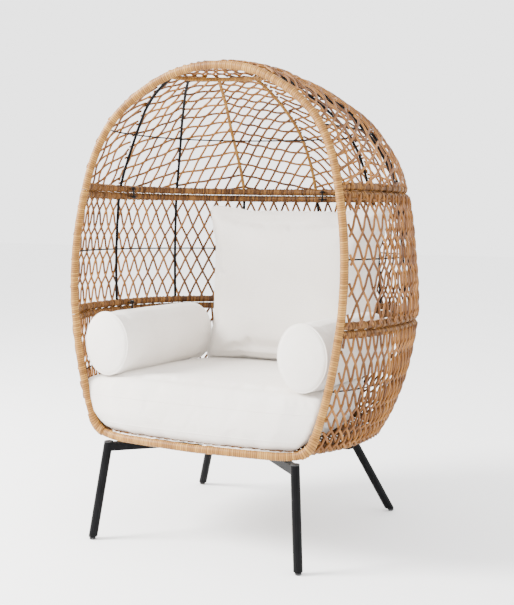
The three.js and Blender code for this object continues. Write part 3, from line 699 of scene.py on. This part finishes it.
def lay_path(soup, patch, across, up, other, own):
    """One strand along a path on a patch, over and under the strands that other counts."""
    if len(across) < 4:
        return
    points = patch.at(across, up)[0]
    lengths = np.linalg.norm(np.diff(points, axis=0), axis=1)
    if lengths.sum() < SHORTEST_STRAND:
        return
    place = np.concatenate([[0], np.cumsum(lengths)])
    at = np.linspace(0, place[-1], max(4, int(place[-1] / STRAND_STEP)))
    across = np.interp(at, place, across)
    up = np.interp(at, place, up)
    lift = STRAND * SWING * np.cos(math.pi * (other(across, up) + own))
    points, normals = patch.at(across, up)
    points = points + normals * (OUTSIDE + lift)[:, None]
    soup.sweep(points, normals, circle(STRAND, 7, 0.8), soup.count + own + 0.5)


def build_lattices():
    build_dome_lattice()
    middle = band(LOWER_TOP, UPPER_BOTTOM)
    diamonds("middle_lattice", middle, "middle_weave", MIDDLE_CELL, MIDDLE_SLANTS)
    seat = band(BASE_LEVEL, LOWER_BOTTOM)
    diamonds("seat_lattice", seat, "seat_weave", SEAT_CELL, SEAT_SLANTS)


# ---------------- steel frame


def rod(soup, points, radius, spacing=0.02, sides=12, first=(0.1, 0.2, 1)):
    points = resample(points, spacing)
    soup.sweep(points, transported(points, first), circle(radius, sides))


def plate(soup, center, across, up, size):
    """A flat plate with softened edges: size is (length along across, width, thickness along up)."""
    across, up = unit(np.array(across)), unit(np.array(up))
    half = size[2] / 2
    soft = min(0.0008, half * 0.6)
    heights = np.array([-half, -half + soft, half - soft, half])
    shrink = np.array([soft, 0, 0, soft])
    corner_x, corner_y = size[0] / 2, size[1] / 2
    rings = []
    for inset in shrink:
        x, y = corner_x - inset, corner_y - inset
        c = 0.0015
        quarter = [(x - c, y), (-x + c, y), (-x, y - c), (-x, -y + c)]
        rings.append(quarter + [(-a, -b) for a, b in quarter])
    side = np.cross(up, across)
    points = np.asarray(center) + np.outer(heights, up)
    verts = []
    for p, ring in zip(points, rings):
        for x, y in ring:
            verts.append(p + across * x + side * y)
    base = soup.count
    soup.verts.append(np.array(verts))
    soup.values.append(np.zeros(len(verts)))
    for r in range(3):
        for j in range(8):
            k = (j + 1) % 8
            near, far = base + r * 8, base + (r + 1) * 8
            soup.faces.append([near + j, near + k, far + k, far + j])
    soup.faces.append([base + j for j in range(7, -1, -1)])
    soup.faces.append([base + 24 + j for j in range(8)])
    soup.count += len(verts)


JOINT_BOLT_ANGLES = np.radians([8, 83, 172])
LUG_SIZE = (0.035, 0.016, 0.003)


def lugs(soup, height, side):
    level = level_of(height)
    for angle in JOINT_BOLT_ANGLES:
        point = egg_point(level, angle)
        out = egg_normal(level, angle)
        out[2] = 0
        out = unit(out)
        center = point - out * LUG_SIZE[0] / 2 + np.array([0, 0, side * RAIL_SPACING / 2])
        plate(soup, center, out, (0, 0, 1), LUG_SIZE)


def rib_points(angle, low, high, count=30):
    levels = np.linspace(level_of(low), level_of(high), count)
    return egg_point(levels, np.full(count, angle))


def dome_rib_points(i):
    return egg_point(*dome_line(i, np.linspace(0, 1, 50)))


CROSSBARS = ((0.170, 0.421, 0.107), (0.450, 0.379, 0.173))  # place back, half length, place of feet
CROSSBAR_ROD = 0.006
FOOT_WIDTH = 0.024


def crossbars():
    """Two bars across the seat, dropped under the deck, with feet that stand on the stand's arms."""
    bars = []
    for y, reach, bolt in CROSSBARS:
        low = DECK_TOP - DECK_THICKNESS - SEAT_FALL * (y - SEAT_FRONT) - 0.007
        high = BASE_LEVEL - SEAT_FALL * (y - SEAT_FRONT)
        drop = [(reach, high), (reach - 0.002, high - 0.013)]
        half = [*drop, (reach - 0.016, low), (reach - 0.060, low)]
        right = [(x, y + SHIFT, z) for x, z in half]
        left = [(-x, y + SHIFT, z) for x, z in reversed(half)]
        bars.append((np.array([*right, (0, y + SHIFT, low), *left]), bolt, low))
    return bars


NATURAL_RIBS = (3, 4)  # these two ribs of the dome are wound with cane


def build_steel():
    soup = Soup()
    rod(soup, arch_curve(), HOOP_ROD)
    rod(soup, level_curve(UPPER_TOP), RAIL_ROD)
    rod(soup, level_curve(CROWN_RING), RIB, 0.01)
    for i in range(7):
        rod(soup, dome_rib_points(i), RIB, first=(1, 0.2, 0))
    lugs(soup, UPPER_JOINT, 1)
    finish_piece(soup.build("dome_steel", STEEL), "frame_steel", "dome_frame")

    soup = Soup()
    for side in (1, -1):
        rod(soup, post_curve(side), HOOP_ROD, first=(1, 0.2, 0))
    for height in (UPPER_BOTTOM, LOWER_TOP):
        rod(soup, level_curve(height), RAIL_ROD)
    for angle in RIB_ANGLES:
        rod(soup, rib_points(angle, LOWER_TOP, UPPER_BOTTOM), RIB, first=(1, 0.2, 0))
    lugs(soup, UPPER_JOINT, -1)
    lugs(soup, LOWER_JOINT, 1)
    finish_piece(soup.build("middle_steel", STEEL), "frame_steel", "middle_frame")

    soup = Soup()
    rod(soup, smooth_curve(front_loop(), 0.01), HOOP_ROD, 0.01)
    for height in (LOWER_BOTTOM, BASE_LEVEL):
        rod(soup, level_curve(height), RAIL_ROD)
    for angle in RIB_ANGLES:
        rod(soup, rib_points(angle, BASE_LEVEL, LOWER_BOTTOM), RIB, first=(1, 0.2, 0))
    for points, bolt, low in crossbars():
        rod(soup, smooth_curve(points, 0.01), CROSSBAR_ROD, 0.01)
        foot_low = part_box("leg_front_left")[1].z - 0.0016
        for side in (1, -1):
            center = (side * bolt, points[0][1], (low + foot_low) / 2)
            plate(soup, center, (1, 0, 0), (0, 0, 1), (FOOT_WIDTH, FOOT_WIDTH, low - foot_low))
    lugs(soup, LOWER_JOINT, -1)
    finish_piece(soup.build("seat_steel", STEEL), "frame_steel", "seat_frame")

    for section, height in WIRE_LEVELS.items():
        soup = Soup()
        rod(soup, level_curve(height, RIB + WIRE + 0.0004, 0.0155), WIRE, 0.015, 8)
        finish_piece(soup.build(section + "_cross_wire", STEEL), "frame_steel", section + "_wire")

    soup = Soup()
    for i in NATURAL_RIBS:
        points = dome_rib_points(i)
        wind(soup, points, (1, 0.2, 0), RIB_WINDING, RAIL_PITCH, sides=10, depth=0.0006, tilt=0.3)
    finish_piece(soup.build("dome_rib_winding", HOOP_CANE), "hoop_cane")
    soup = Soup()
    wind(soup, level_curve(CROWN_RING), (0, 0, 1), CROWN_WRAP, RAIL_PITCH, sides=10, depth=0.0007)
    finish_piece(soup.build("crown_winding", HOOP_CANE), "hoop_cane", "dome_crown_wrap")


# ---------------- woven deck

DECK_PITCH = 0.014
DECK_SWING = 0.0014
DECK_STRIP = np.array([(-0.0062, -0.0006), (0.0062, -0.0006), (0.0058, 0.0007), (-0.0058, 0.0007)])
DECK_FRONT_HALF = 0.33  # ahead of the base rail's ends
DECK_FLANK = 0.34  # strips further out than this start on the base rail


def build_deck():
    """Flat strips woven over and under, cut to the base rail's plan."""
    level = level_of(BASE_LEVEL)
    first = start_angle(level)
    angle = np.linspace(first, math.pi - first, 200)
    rail = egg_point(np.full(200, level), angle)
    inset = RAIL_WRAP * 0.6
    low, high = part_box("seat_deck")
    soup = Soup()
    middle_z = DECK_TOP - DECK_THICKNESS / 2

    def lay(points, lifts):
        points = np.array(points)
        points[:, 2] = middle_z - SEAT_FALL * (points[:, 1] - SHIFT - SEAT_FRONT) + lifts
        if len(points) > 3:
            soup.sweep(points, np.tile([0, 0, 1.0], (len(points), 1)), DECK_STRIP, soup.count + 0.5)

    def front_y(x):
        return low.y + FRONT_RAIL_BOW * np.minimum(1, (x / FRONT_RAIL_HALF) ** 2) * 0.9

    half_width = high.x
    rows = int((high.y - low.y) / DECK_PITCH)
    columns = int(2 * half_width / DECK_PITCH)
    right = rail[rail[:, 0] > 0]
    back = rail[np.argsort(rail[:, 0])]
    order = np.argsort(right[:, 1])
    for i in range(rows + 1):
        y = low.y + (i + 0.5) * DECK_PITCH
        reach = np.interp(y, right[order, 1], right[order, 0]) - inset
        if y < right[:, 1].min():
            reach = DECK_FRONT_HALF
        x = np.arange(-reach, reach, DECK_PITCH / 2)
        x = x[front_y(x) < y]
        lift = DECK_SWING * np.cos(math.pi * (x / DECK_PITCH + i))
        lay(np.stack([x, np.full(len(x), y), x * 0], -1), lift)
    for k in range(-columns // 2, columns // 2 + 1):
        x = (k + 0.5) * DECK_PITCH
        if abs(x) > half_width - 0.008:
            continue
        rear = np.interp(x, back[:, 0], back[:, 1])
        front = float(front_y(np.array(x)))
        if rear < front + 0.1:
            continue
        if abs(x) > DECK_FLANK:
            flank = right[right[:, 1] < 0]
            front = float(np.interp(abs(x), np.sort(flank[:, 0]), np.sort(flank[:, 1])))
        rear_side = right[(right[:, 1] > 0) & (right[:, 0] >= abs(x))]
        if len(rear_side):
            rear = min(rear, float(rear_side[:, 1].max()))
        y = np.arange(front, rear - inset, DECK_PITCH / 2)
        phase = (y - low.y) / DECK_PITCH - 0.5
        lift = -DECK_SWING * np.cos(math.pi * (phase + k + 0.5))
        lay(np.stack([np.full(len(y), x), y, y * 0], -1), lift)
    finish_piece(soup.build("woven_deck", DECK_CANE), "woven_deck", "seat_deck")


# ---------------- stand and fasteners


def smooth_shading():
    """A modifier's node group that shades all faces smooth and leaves the mesh itself alone."""
    group = bpy.data.node_groups.new("smooth_shading", "GeometryNodeTree")
    for way in ("INPUT", "OUTPUT"):
        group.interface.new_socket("Geometry", in_out=way, socket_type="NodeSocketGeometry")
    start = group.nodes.new("NodeGroupInput")
    shade = group.nodes.new("GeometryNodeSetShadeSmooth")
    end = group.nodes.new("NodeGroupOutput")
    group.links.new(start.outputs[0], shade.inputs["Geometry"])
    group.links.new(shade.outputs["Geometry"], end.inputs[0])
    return group


def dress_cad_nodes():
    """The stand, caps, glides and bolts keep their CAD shape and mesh. Materials go in the object's
    own slots, and modifiers shade them smooth and soften their edges by under a millimetre."""
    smooth = smooth_shading()
    for name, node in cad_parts.items():
        if node.hide_render:
            continue
        if name.startswith(("leg_", "stand_")):
            material, width = STEEL, 0.0009
        elif name.startswith(("cap_", "glide_")):
            material, width = PLASTIC, 0.0008
        else:
            material, width = FASTENER, 0.0006
        for slot in node.material_slots:
            slot.link = "OBJECT"
            slot.material = material
        node.modifiers.new("smooth", "NODES").node_group = smooth
        bevel = node.modifiers.new("soft_edges", "BEVEL")
        bevel.width = width
        bevel.segments = 2
        bevel.limit_method = "ANGLE"
        bevel.angle_limit = math.radians(40)
        bevel.harden_normals = False
        weighted = node.modifiers.new("even_shading", "WEIGHTED_NORMAL")
        weighted.keep_sharp = True


# ---------------- cushions


def soft_copy(node, name, shrink, voxel):
    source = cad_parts[node]
    mesh = source.data.copy()
    mesh.name = name
    mesh.materials.clear()
    mesh.materials.append(CLOTH)
    made = add_object(name, mesh)
    low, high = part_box(node)
    middle = (low + high) / 2
    for v in mesh.vertices:
        offset = v.co - middle
        v.co = middle + Vector(offset[k] * shrink[k] for k in range(3))
    remesh = made.modifiers.new("even", "REMESH")
    remesh.mode = "VOXEL"
    remesh.voxel_size = voxel
    apply_modifiers(made)
    return made


def apply_modifiers(piece):
    graph = bpy.context.evaluated_depsgraph_get()
    mesh = bpy.data.meshes.new_from_object(piece.evaluated_get(graph))
    old = piece.data
    piece.modifiers.clear()
    piece.data = mesh
    bpy.data.meshes.remove(old)


def coordinates_of(mesh):
    found = np.empty(len(mesh.vertices) * 3)
    mesh.vertices.foreach_get("co", found)
    return found.reshape(-1, 3)


COVER = {
    "quality": 4,
    "mass": 0.35,
    "tension_stiffness": 18,
    "compression_stiffness": 12,
    "shear_stiffness": 8,
    "bending_stiffness": 0.4,
    "use_pressure": True,
}
SWELL_FRAMES = 18


def inflate(piece, pressure, cap):
    """The cover swells under pressure for a few frames; no point moves further than cap."""
    before = coordinates_of(piece.data)
    facing = np.empty(len(before) * 3)
    piece.data.vertices.foreach_get("normal", facing)
    facing = facing.reshape(-1, 3)
    cloth = piece.modifiers.new("cloth", "CLOTH")
    settings = cloth.settings
    for key, value in COVER.items():
        setattr(settings, key, value)
    settings.uniform_pressure_force = pressure
    settings.effector_weights.gravity = 0
    cloth.collision_settings.use_collision = False
    cloth.point_cache.frame_start = 1
    cloth.point_cache.frame_end = SWELL_FRAMES
    scene = bpy.context.scene
    for number in range(1, SWELL_FRAMES + 1):
        scene.frame_set(number)
    apply_modifiers(piece)
    scene.frame_set(1)
    after = coordinates_of(piece.data)
    move = after - before
    out = (move * facing).sum(1, keepdims=True)
    move = move - facing * np.minimum(out, 0) * 0.75
    length = np.linalg.norm(move, axis=1, keepdims=True)
    after = before + move * np.minimum(1, cap / np.maximum(length, 1e-9))
    shape_points(piece, lambda _: after)


def shape_points(piece, change):
    points = change(coordinates_of(piece.data))
    piece.data.vertices.foreach_set("co", points.ravel())
    piece.data.update()


def crease_noise(points, seed, depth, scale):
    """Broad soft dents, the same each run, as a sum of a few waves."""
    waves = np.random.default_rng(seed)
    total = np.zeros(len(points))
    for _ in range(9):
        direction = unit(waves.normal(size=3)) * scale * waves.uniform(0.5, 1.7)
        total += np.sin(points @ direction + waves.uniform(0, 6.28))
    return depth * total / 9


def smooth_shaded(piece):
    subdivide = piece.modifiers.new("smooth", "SUBSURF")
    subdivide.levels = subdivide.render_levels = 1
    apply_modifiers(piece)
    piece.data.polygons.foreach_set("use_smooth", [True] * len(piece.data.polygons))


def outline(piece, point, normal):
    """The longest loop where a plane cuts the piece, as ordered points."""
    cutter = bmesh.new()
    cutter.from_mesh(piece.data)
    geometry = cutter.verts[:] + cutter.edges[:] + cutter.faces[:]
    cut = bmesh.ops.bisect_plane(cutter, geom=geometry, plane_co=point, plane_no=normal)["geom_cut"]
    cutter.verts.index_update()
    links = {}
    for edge in cut:
        if isinstance(edge, bmesh.types.BMEdge):
            a, b = (v.index for v in edge.verts)
            links.setdefault(a, []).append(b)
            links.setdefault(b, []).append(a)
    best, seen = [], set()
    for start in links:
        if start in seen:
            continue
        loop, onward = [], [start]
        while onward:
            current = onward[0]
            seen.add(current)
            loop.append(current)
            onward = [v for v in links[current] if v not in seen]
        if len(loop) > len(best):
            best = loop
    cutter.verts.ensure_lookup_table()
    points = np.array([cutter.verts[i].co[:] for i in best])
    cutter.free()
    return points


def piping(name, piece, point, normal, radius, node_body, lift=0.0):
    """A sewn cord round the piece where a plane cuts it."""
    loop = outline(piece, point, normal)
    closed = np.vstack([loop, loop[:1]])
    even = resample(closed, 0.006)[:-1]
    for _ in range(3):
        even = (np.roll(even, 1, 0) + 2 * even + np.roll(even, -1, 0)) / 4
    center = even.mean(0)
    outward = unit(even - center)
    ahead = np.roll(even, -1, 0) - np.roll(even, 1, 0)
    normals = unit(np.cross(np.cross(unit(ahead), outward), unit(ahead)))
    even = even + normals * lift
    soup = Soup()
    across = unit(np.cross(unit(ahead), normals))
    ring = circle(radius, 8)
    rings = even[:, None] + across[:, None] * ring[None, :, :1] + normals[:, None] * ring[None, :, 1:]
    rows, sides = len(even), len(ring)
    soup.verts.append(rings.reshape(-1, 3))
    soup.values.append(np.zeros(rows * sides))
    for i in range(rows):
        for j in range(sides):
            a, b = i * sides + j, i * sides + (j + 1) % sides
            up = ((i + 1) % rows) * sides
            soup.faces.append([a, b, up + (j + 1) % sides, up + j])
    soup.count = rows * sides
    finish_piece(soup.build(name, CLOTH), "cushion_fabric", body=node_body)


SEAT_UP = unit(np.array([0.0, SEAT_FALL, 1.0]))


def build_seat_cushion():
    low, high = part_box("seat_cushion")
    piece = soft_copy("seat_cushion", "seat_pad", (1.0, 0.99, 0.955), 0.009)

    def crown(points):
        middle = np.array([0, (low.y + high.y) / 2, 0])
        spread = (points - middle) / np.array([(high.x - low.x) / 2, (high.y - low.y) / 2, 1])
        dome = np.clip(1 - spread[:, 0] ** 4, 0, 1) * np.clip(1 - spread[:, 1] ** 4, 0, 1)
        height = (points[:, 2] - low.z) / (high.z - low.z)
        points = points.copy()
        points[:, 2] += 0.010 * dome * np.clip(height, 0, 1)
        return points

    def square_front(points):
        """The front fills the mouth of the hoop, with an upright face."""
        front = np.clip((-0.02 - points[:, 1]) / 0.3, 0, 1)
        side = np.clip(np.abs(points[:, 0]) / high.x, 0, 1) ** 3
        height = np.clip((points[:, 2] - low.z) / (high.z - low.z), 0, 1)
        reach = np.where(points[:, 0] < 0, 0.040, 0.014)
        points = points.copy()
        points[:, 0] += np.sign(points[:, 0]) * reach * front * side
        points[:, 1] -= front**2 * (0.034 * (1 - height) + 0.020 * side)
        points[:, 2] -= 0.009 * front**3 * (1 - height)
        return points

    shape_points(piece, crown)
    inflate(piece, 2.4, 0.012)
    shape_points(piece, square_front)
    shape_points(piece, lambda p: p + np.outer(crease_noise(p, 3, 0.0035, 14), [0, 0.2, 1]))
    smooth_shaded(piece)
    finish_piece(piece, "cushion_fabric", "seat_cushion", body="seat_cushion")
    for name, rise in (("seat_pad_top_seam", 0.112), ("seat_pad_lower_seam", 0.030)):
        point = Vector((0, low.y, DECK_TOP + rise))
        piping(name, piece, point, Vector(SEAT_UP), 0.0016, "seat_cushion", -0.0006)


BOLSTER_STRETCH = 1.28


def build_bolsters():
    for word, side in (("left", -1), ("right", 1)):
        node = "bolster_" + word
        low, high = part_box(node)
        piece = soft_copy(node, "arm_" + node, (1.0, 1.0, 1.0), 0.0075)
        middle = (low + high) / 2

        def full_ends(points):
            """A full round roll with nearly flat ends, longer than the firm core."""
            along = (points[:, 1] - middle.y) / (high.y - low.y) * 2
            core = np.interp(np.abs(along), [0.74, 0.9, 1], [1, 0.88, 0.62])
            full = np.maximum(1, 0.97 / core)
            points = points.copy()
            points[:, 0] = middle.x + (points[:, 0] - middle.x) * full
            points[:, 2] = middle.z + (points[:, 2] - middle.z) * full * 1.03
            points[:, 1] = middle.y + 0.010 + (points[:, 1] - middle.y) * BOLSTER_STRETCH
            return points

        shape_points(piece, full_ends)
        inflate(piece, 2.5, 0.012)
        way = [side, 0, 0.3]
        shape_points(piece, lambda p: p + np.outer(crease_noise(p, 11 + side, 0.003, 24), way))
        smooth_shaded(piece)
        finish_piece(piece, "cushion_fabric", node, body=node)
        for end, y in (("front", low.y - 0.043), ("rear", high.y + 0.060)):
            point = Vector((0, y, 0))
            piping(f"{node}_{end}_piping", piece, point, Vector((0, 1, 0)), 0.0026, node, 0.0004)


BACK_HALF_DEPTH = 0.080
BACK_SQUARENESS = 4.76  # power of the superellipse that the firm core's outline follows


def build_back_cushion():
    low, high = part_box("back_cushion")
    piece = soft_copy("back_cushion", "back_pad", (0.985, 0.86, 0.985), 0.009)
    lean = math.radians(8)
    middle = np.array([(low.x + high.x) / 2, (low.y + high.y) / 2, (low.z + high.z) / 2])
    thickness = np.array([0, math.cos(lean), -math.sin(lean)])
    upward = np.array([0, math.sin(lean), math.cos(lean)])
    half = np.array([(high.x - low.x) / 2, (high.z - low.z) / 2])

    def pillow(points):
        """Thin at the edges and corners, full in the middle, with corners drawn out."""
        offset = points - middle
        x, z, d = offset[:, 0] / half[0], offset @ upward / half[1], offset @ thickness
        core = np.interp(np.abs(d) / BACK_HALF_DEPTH, [0.2, 0.7, 1], [1, 0.955, 0.86])
        z = np.where(z < 0, z / core * 0.99, z)
        power = BACK_SQUARENESS
        spread = (np.abs(x) ** power + np.abs(z) ** power) ** (1 / power)
        square = 1 + 0.9 * (spread / np.maximum(np.maximum(np.abs(x), np.abs(z)), 1e-6) - 1)
        x, z = x * square, z * square
        pressed = np.where(z < 0, 0.8, 1.0)  # the seat and the rolls hold its lower part full
        edge = np.clip(1 - np.maximum(np.abs(x), np.abs(z) * pressed) ** 4, 0.0, 1)
        corner = np.clip(np.abs(x) * np.abs(z) - 0.45, 0, 1)
        flat = d * (0.30 + 0.85 * edge)
        grow = 1 + 0.12 * corner
        waist = 1 - 0.025 * (1 - z**2) * np.abs(x) ** 3
        sideways = x * half[0] * grow * waist + np.where(x < 0, 0.010 * x * z, 0.026 * x)
        out = middle + np.outer(sideways, [1, 0, 0])
        rise = z * half[1] * grow + 0.024 * np.clip(z, 0, 1)
        out += np.outer(rise, upward) + np.outer(flat, thickness)
        return out

    shape_points(piece, pillow)
    inflate(piece, 3.5, 0.024)
    shape_points(piece, lambda p: p + np.outer(crease_noise(p, 21, 0.004, 15), thickness))
    smooth_shaded(piece)
    finish_piece(piece, "cushion_fabric", "back_cushion", body="back_cushion")
    piping("back_pad_seam", piece, Vector(middle), Vector(thickness), 0.0022, "back_cushion", 0.0)


# ---------------- stage, light and camera


def floor_finish():
    g = Graph("pale_floor")
    tint = g.ramp(g.noise(3.0, 2.0), (0.3, (0.93,) * 3), (0.7, (0.9393,) * 3))
    return g.done(tint, 0.9, specular=0.1)


def build_stage():
    mesh = bpy.data.meshes.new("floor")
    reach = 14.0
    corners = [(x * reach, y * reach, 0) for x, y in ((-1, -1), (1, -1), (1, 1), (-1, 1))]
    mesh.from_pydata(corners, [], [(0, 1, 2, 3)])
    mesh.materials.append(floor_finish())
    add_object("floor", mesh)


WORLD_STRENGTH = 3.0
KEY_PLACE = Vector((-3.2, -2.2, 3.2))
KEY_TARGET = Vector((0, 0, 0.7))
KEY_SIZE = 1.8
KEY_POWER = 760
CAMERA_LENS = 65.6
CAMERA_PLACE = (1.632, -2.835 + SHIFT, 1.097)
CAMERA_DIP = 5.98  # degrees below level
CAMERA_TURN = 27.05  # degrees round from straight ahead, towards +X


def build_light():
    world = bpy.data.worlds.new("studio")
    bpy.context.scene.world = world
    world.use_nodes = True
    background = world.node_tree.nodes["Background"]
    background.inputs["Color"].default_value = (1, 1, 1, 1)
    background.inputs["Strength"].default_value = WORLD_STRENGTH
    data = bpy.data.lights.new("key", "AREA")
    data.shape = "DISK"
    data.size = KEY_SIZE
    data.energy = KEY_POWER
    data.color = (1, 0.985, 0.96)
    lamp = add_object("key", data)
    lamp.location = KEY_PLACE
    lamp.rotation_euler = (KEY_TARGET - KEY_PLACE).to_track_quat("-Z", "Y").to_euler()


def build_camera():
    data = bpy.data.cameras.new("camera")
    data.sensor_width = 36
    data.lens = CAMERA_LENS
    camera = add_object("camera", data)
    camera.location = CAMERA_PLACE
    camera.rotation_euler = (math.radians(90 - CAMERA_DIP), 0, math.radians(CAMERA_TURN))
    bpy.context.scene.camera = camera


build_camera()
build_stage()
build_light()
build_steel()
build_hoop_wraps()
build_rail_wraps()
build_lattices()
build_deck()
build_seat_cushion()
build_bolsters()
build_back_cushion()
dress_cad_nodes()
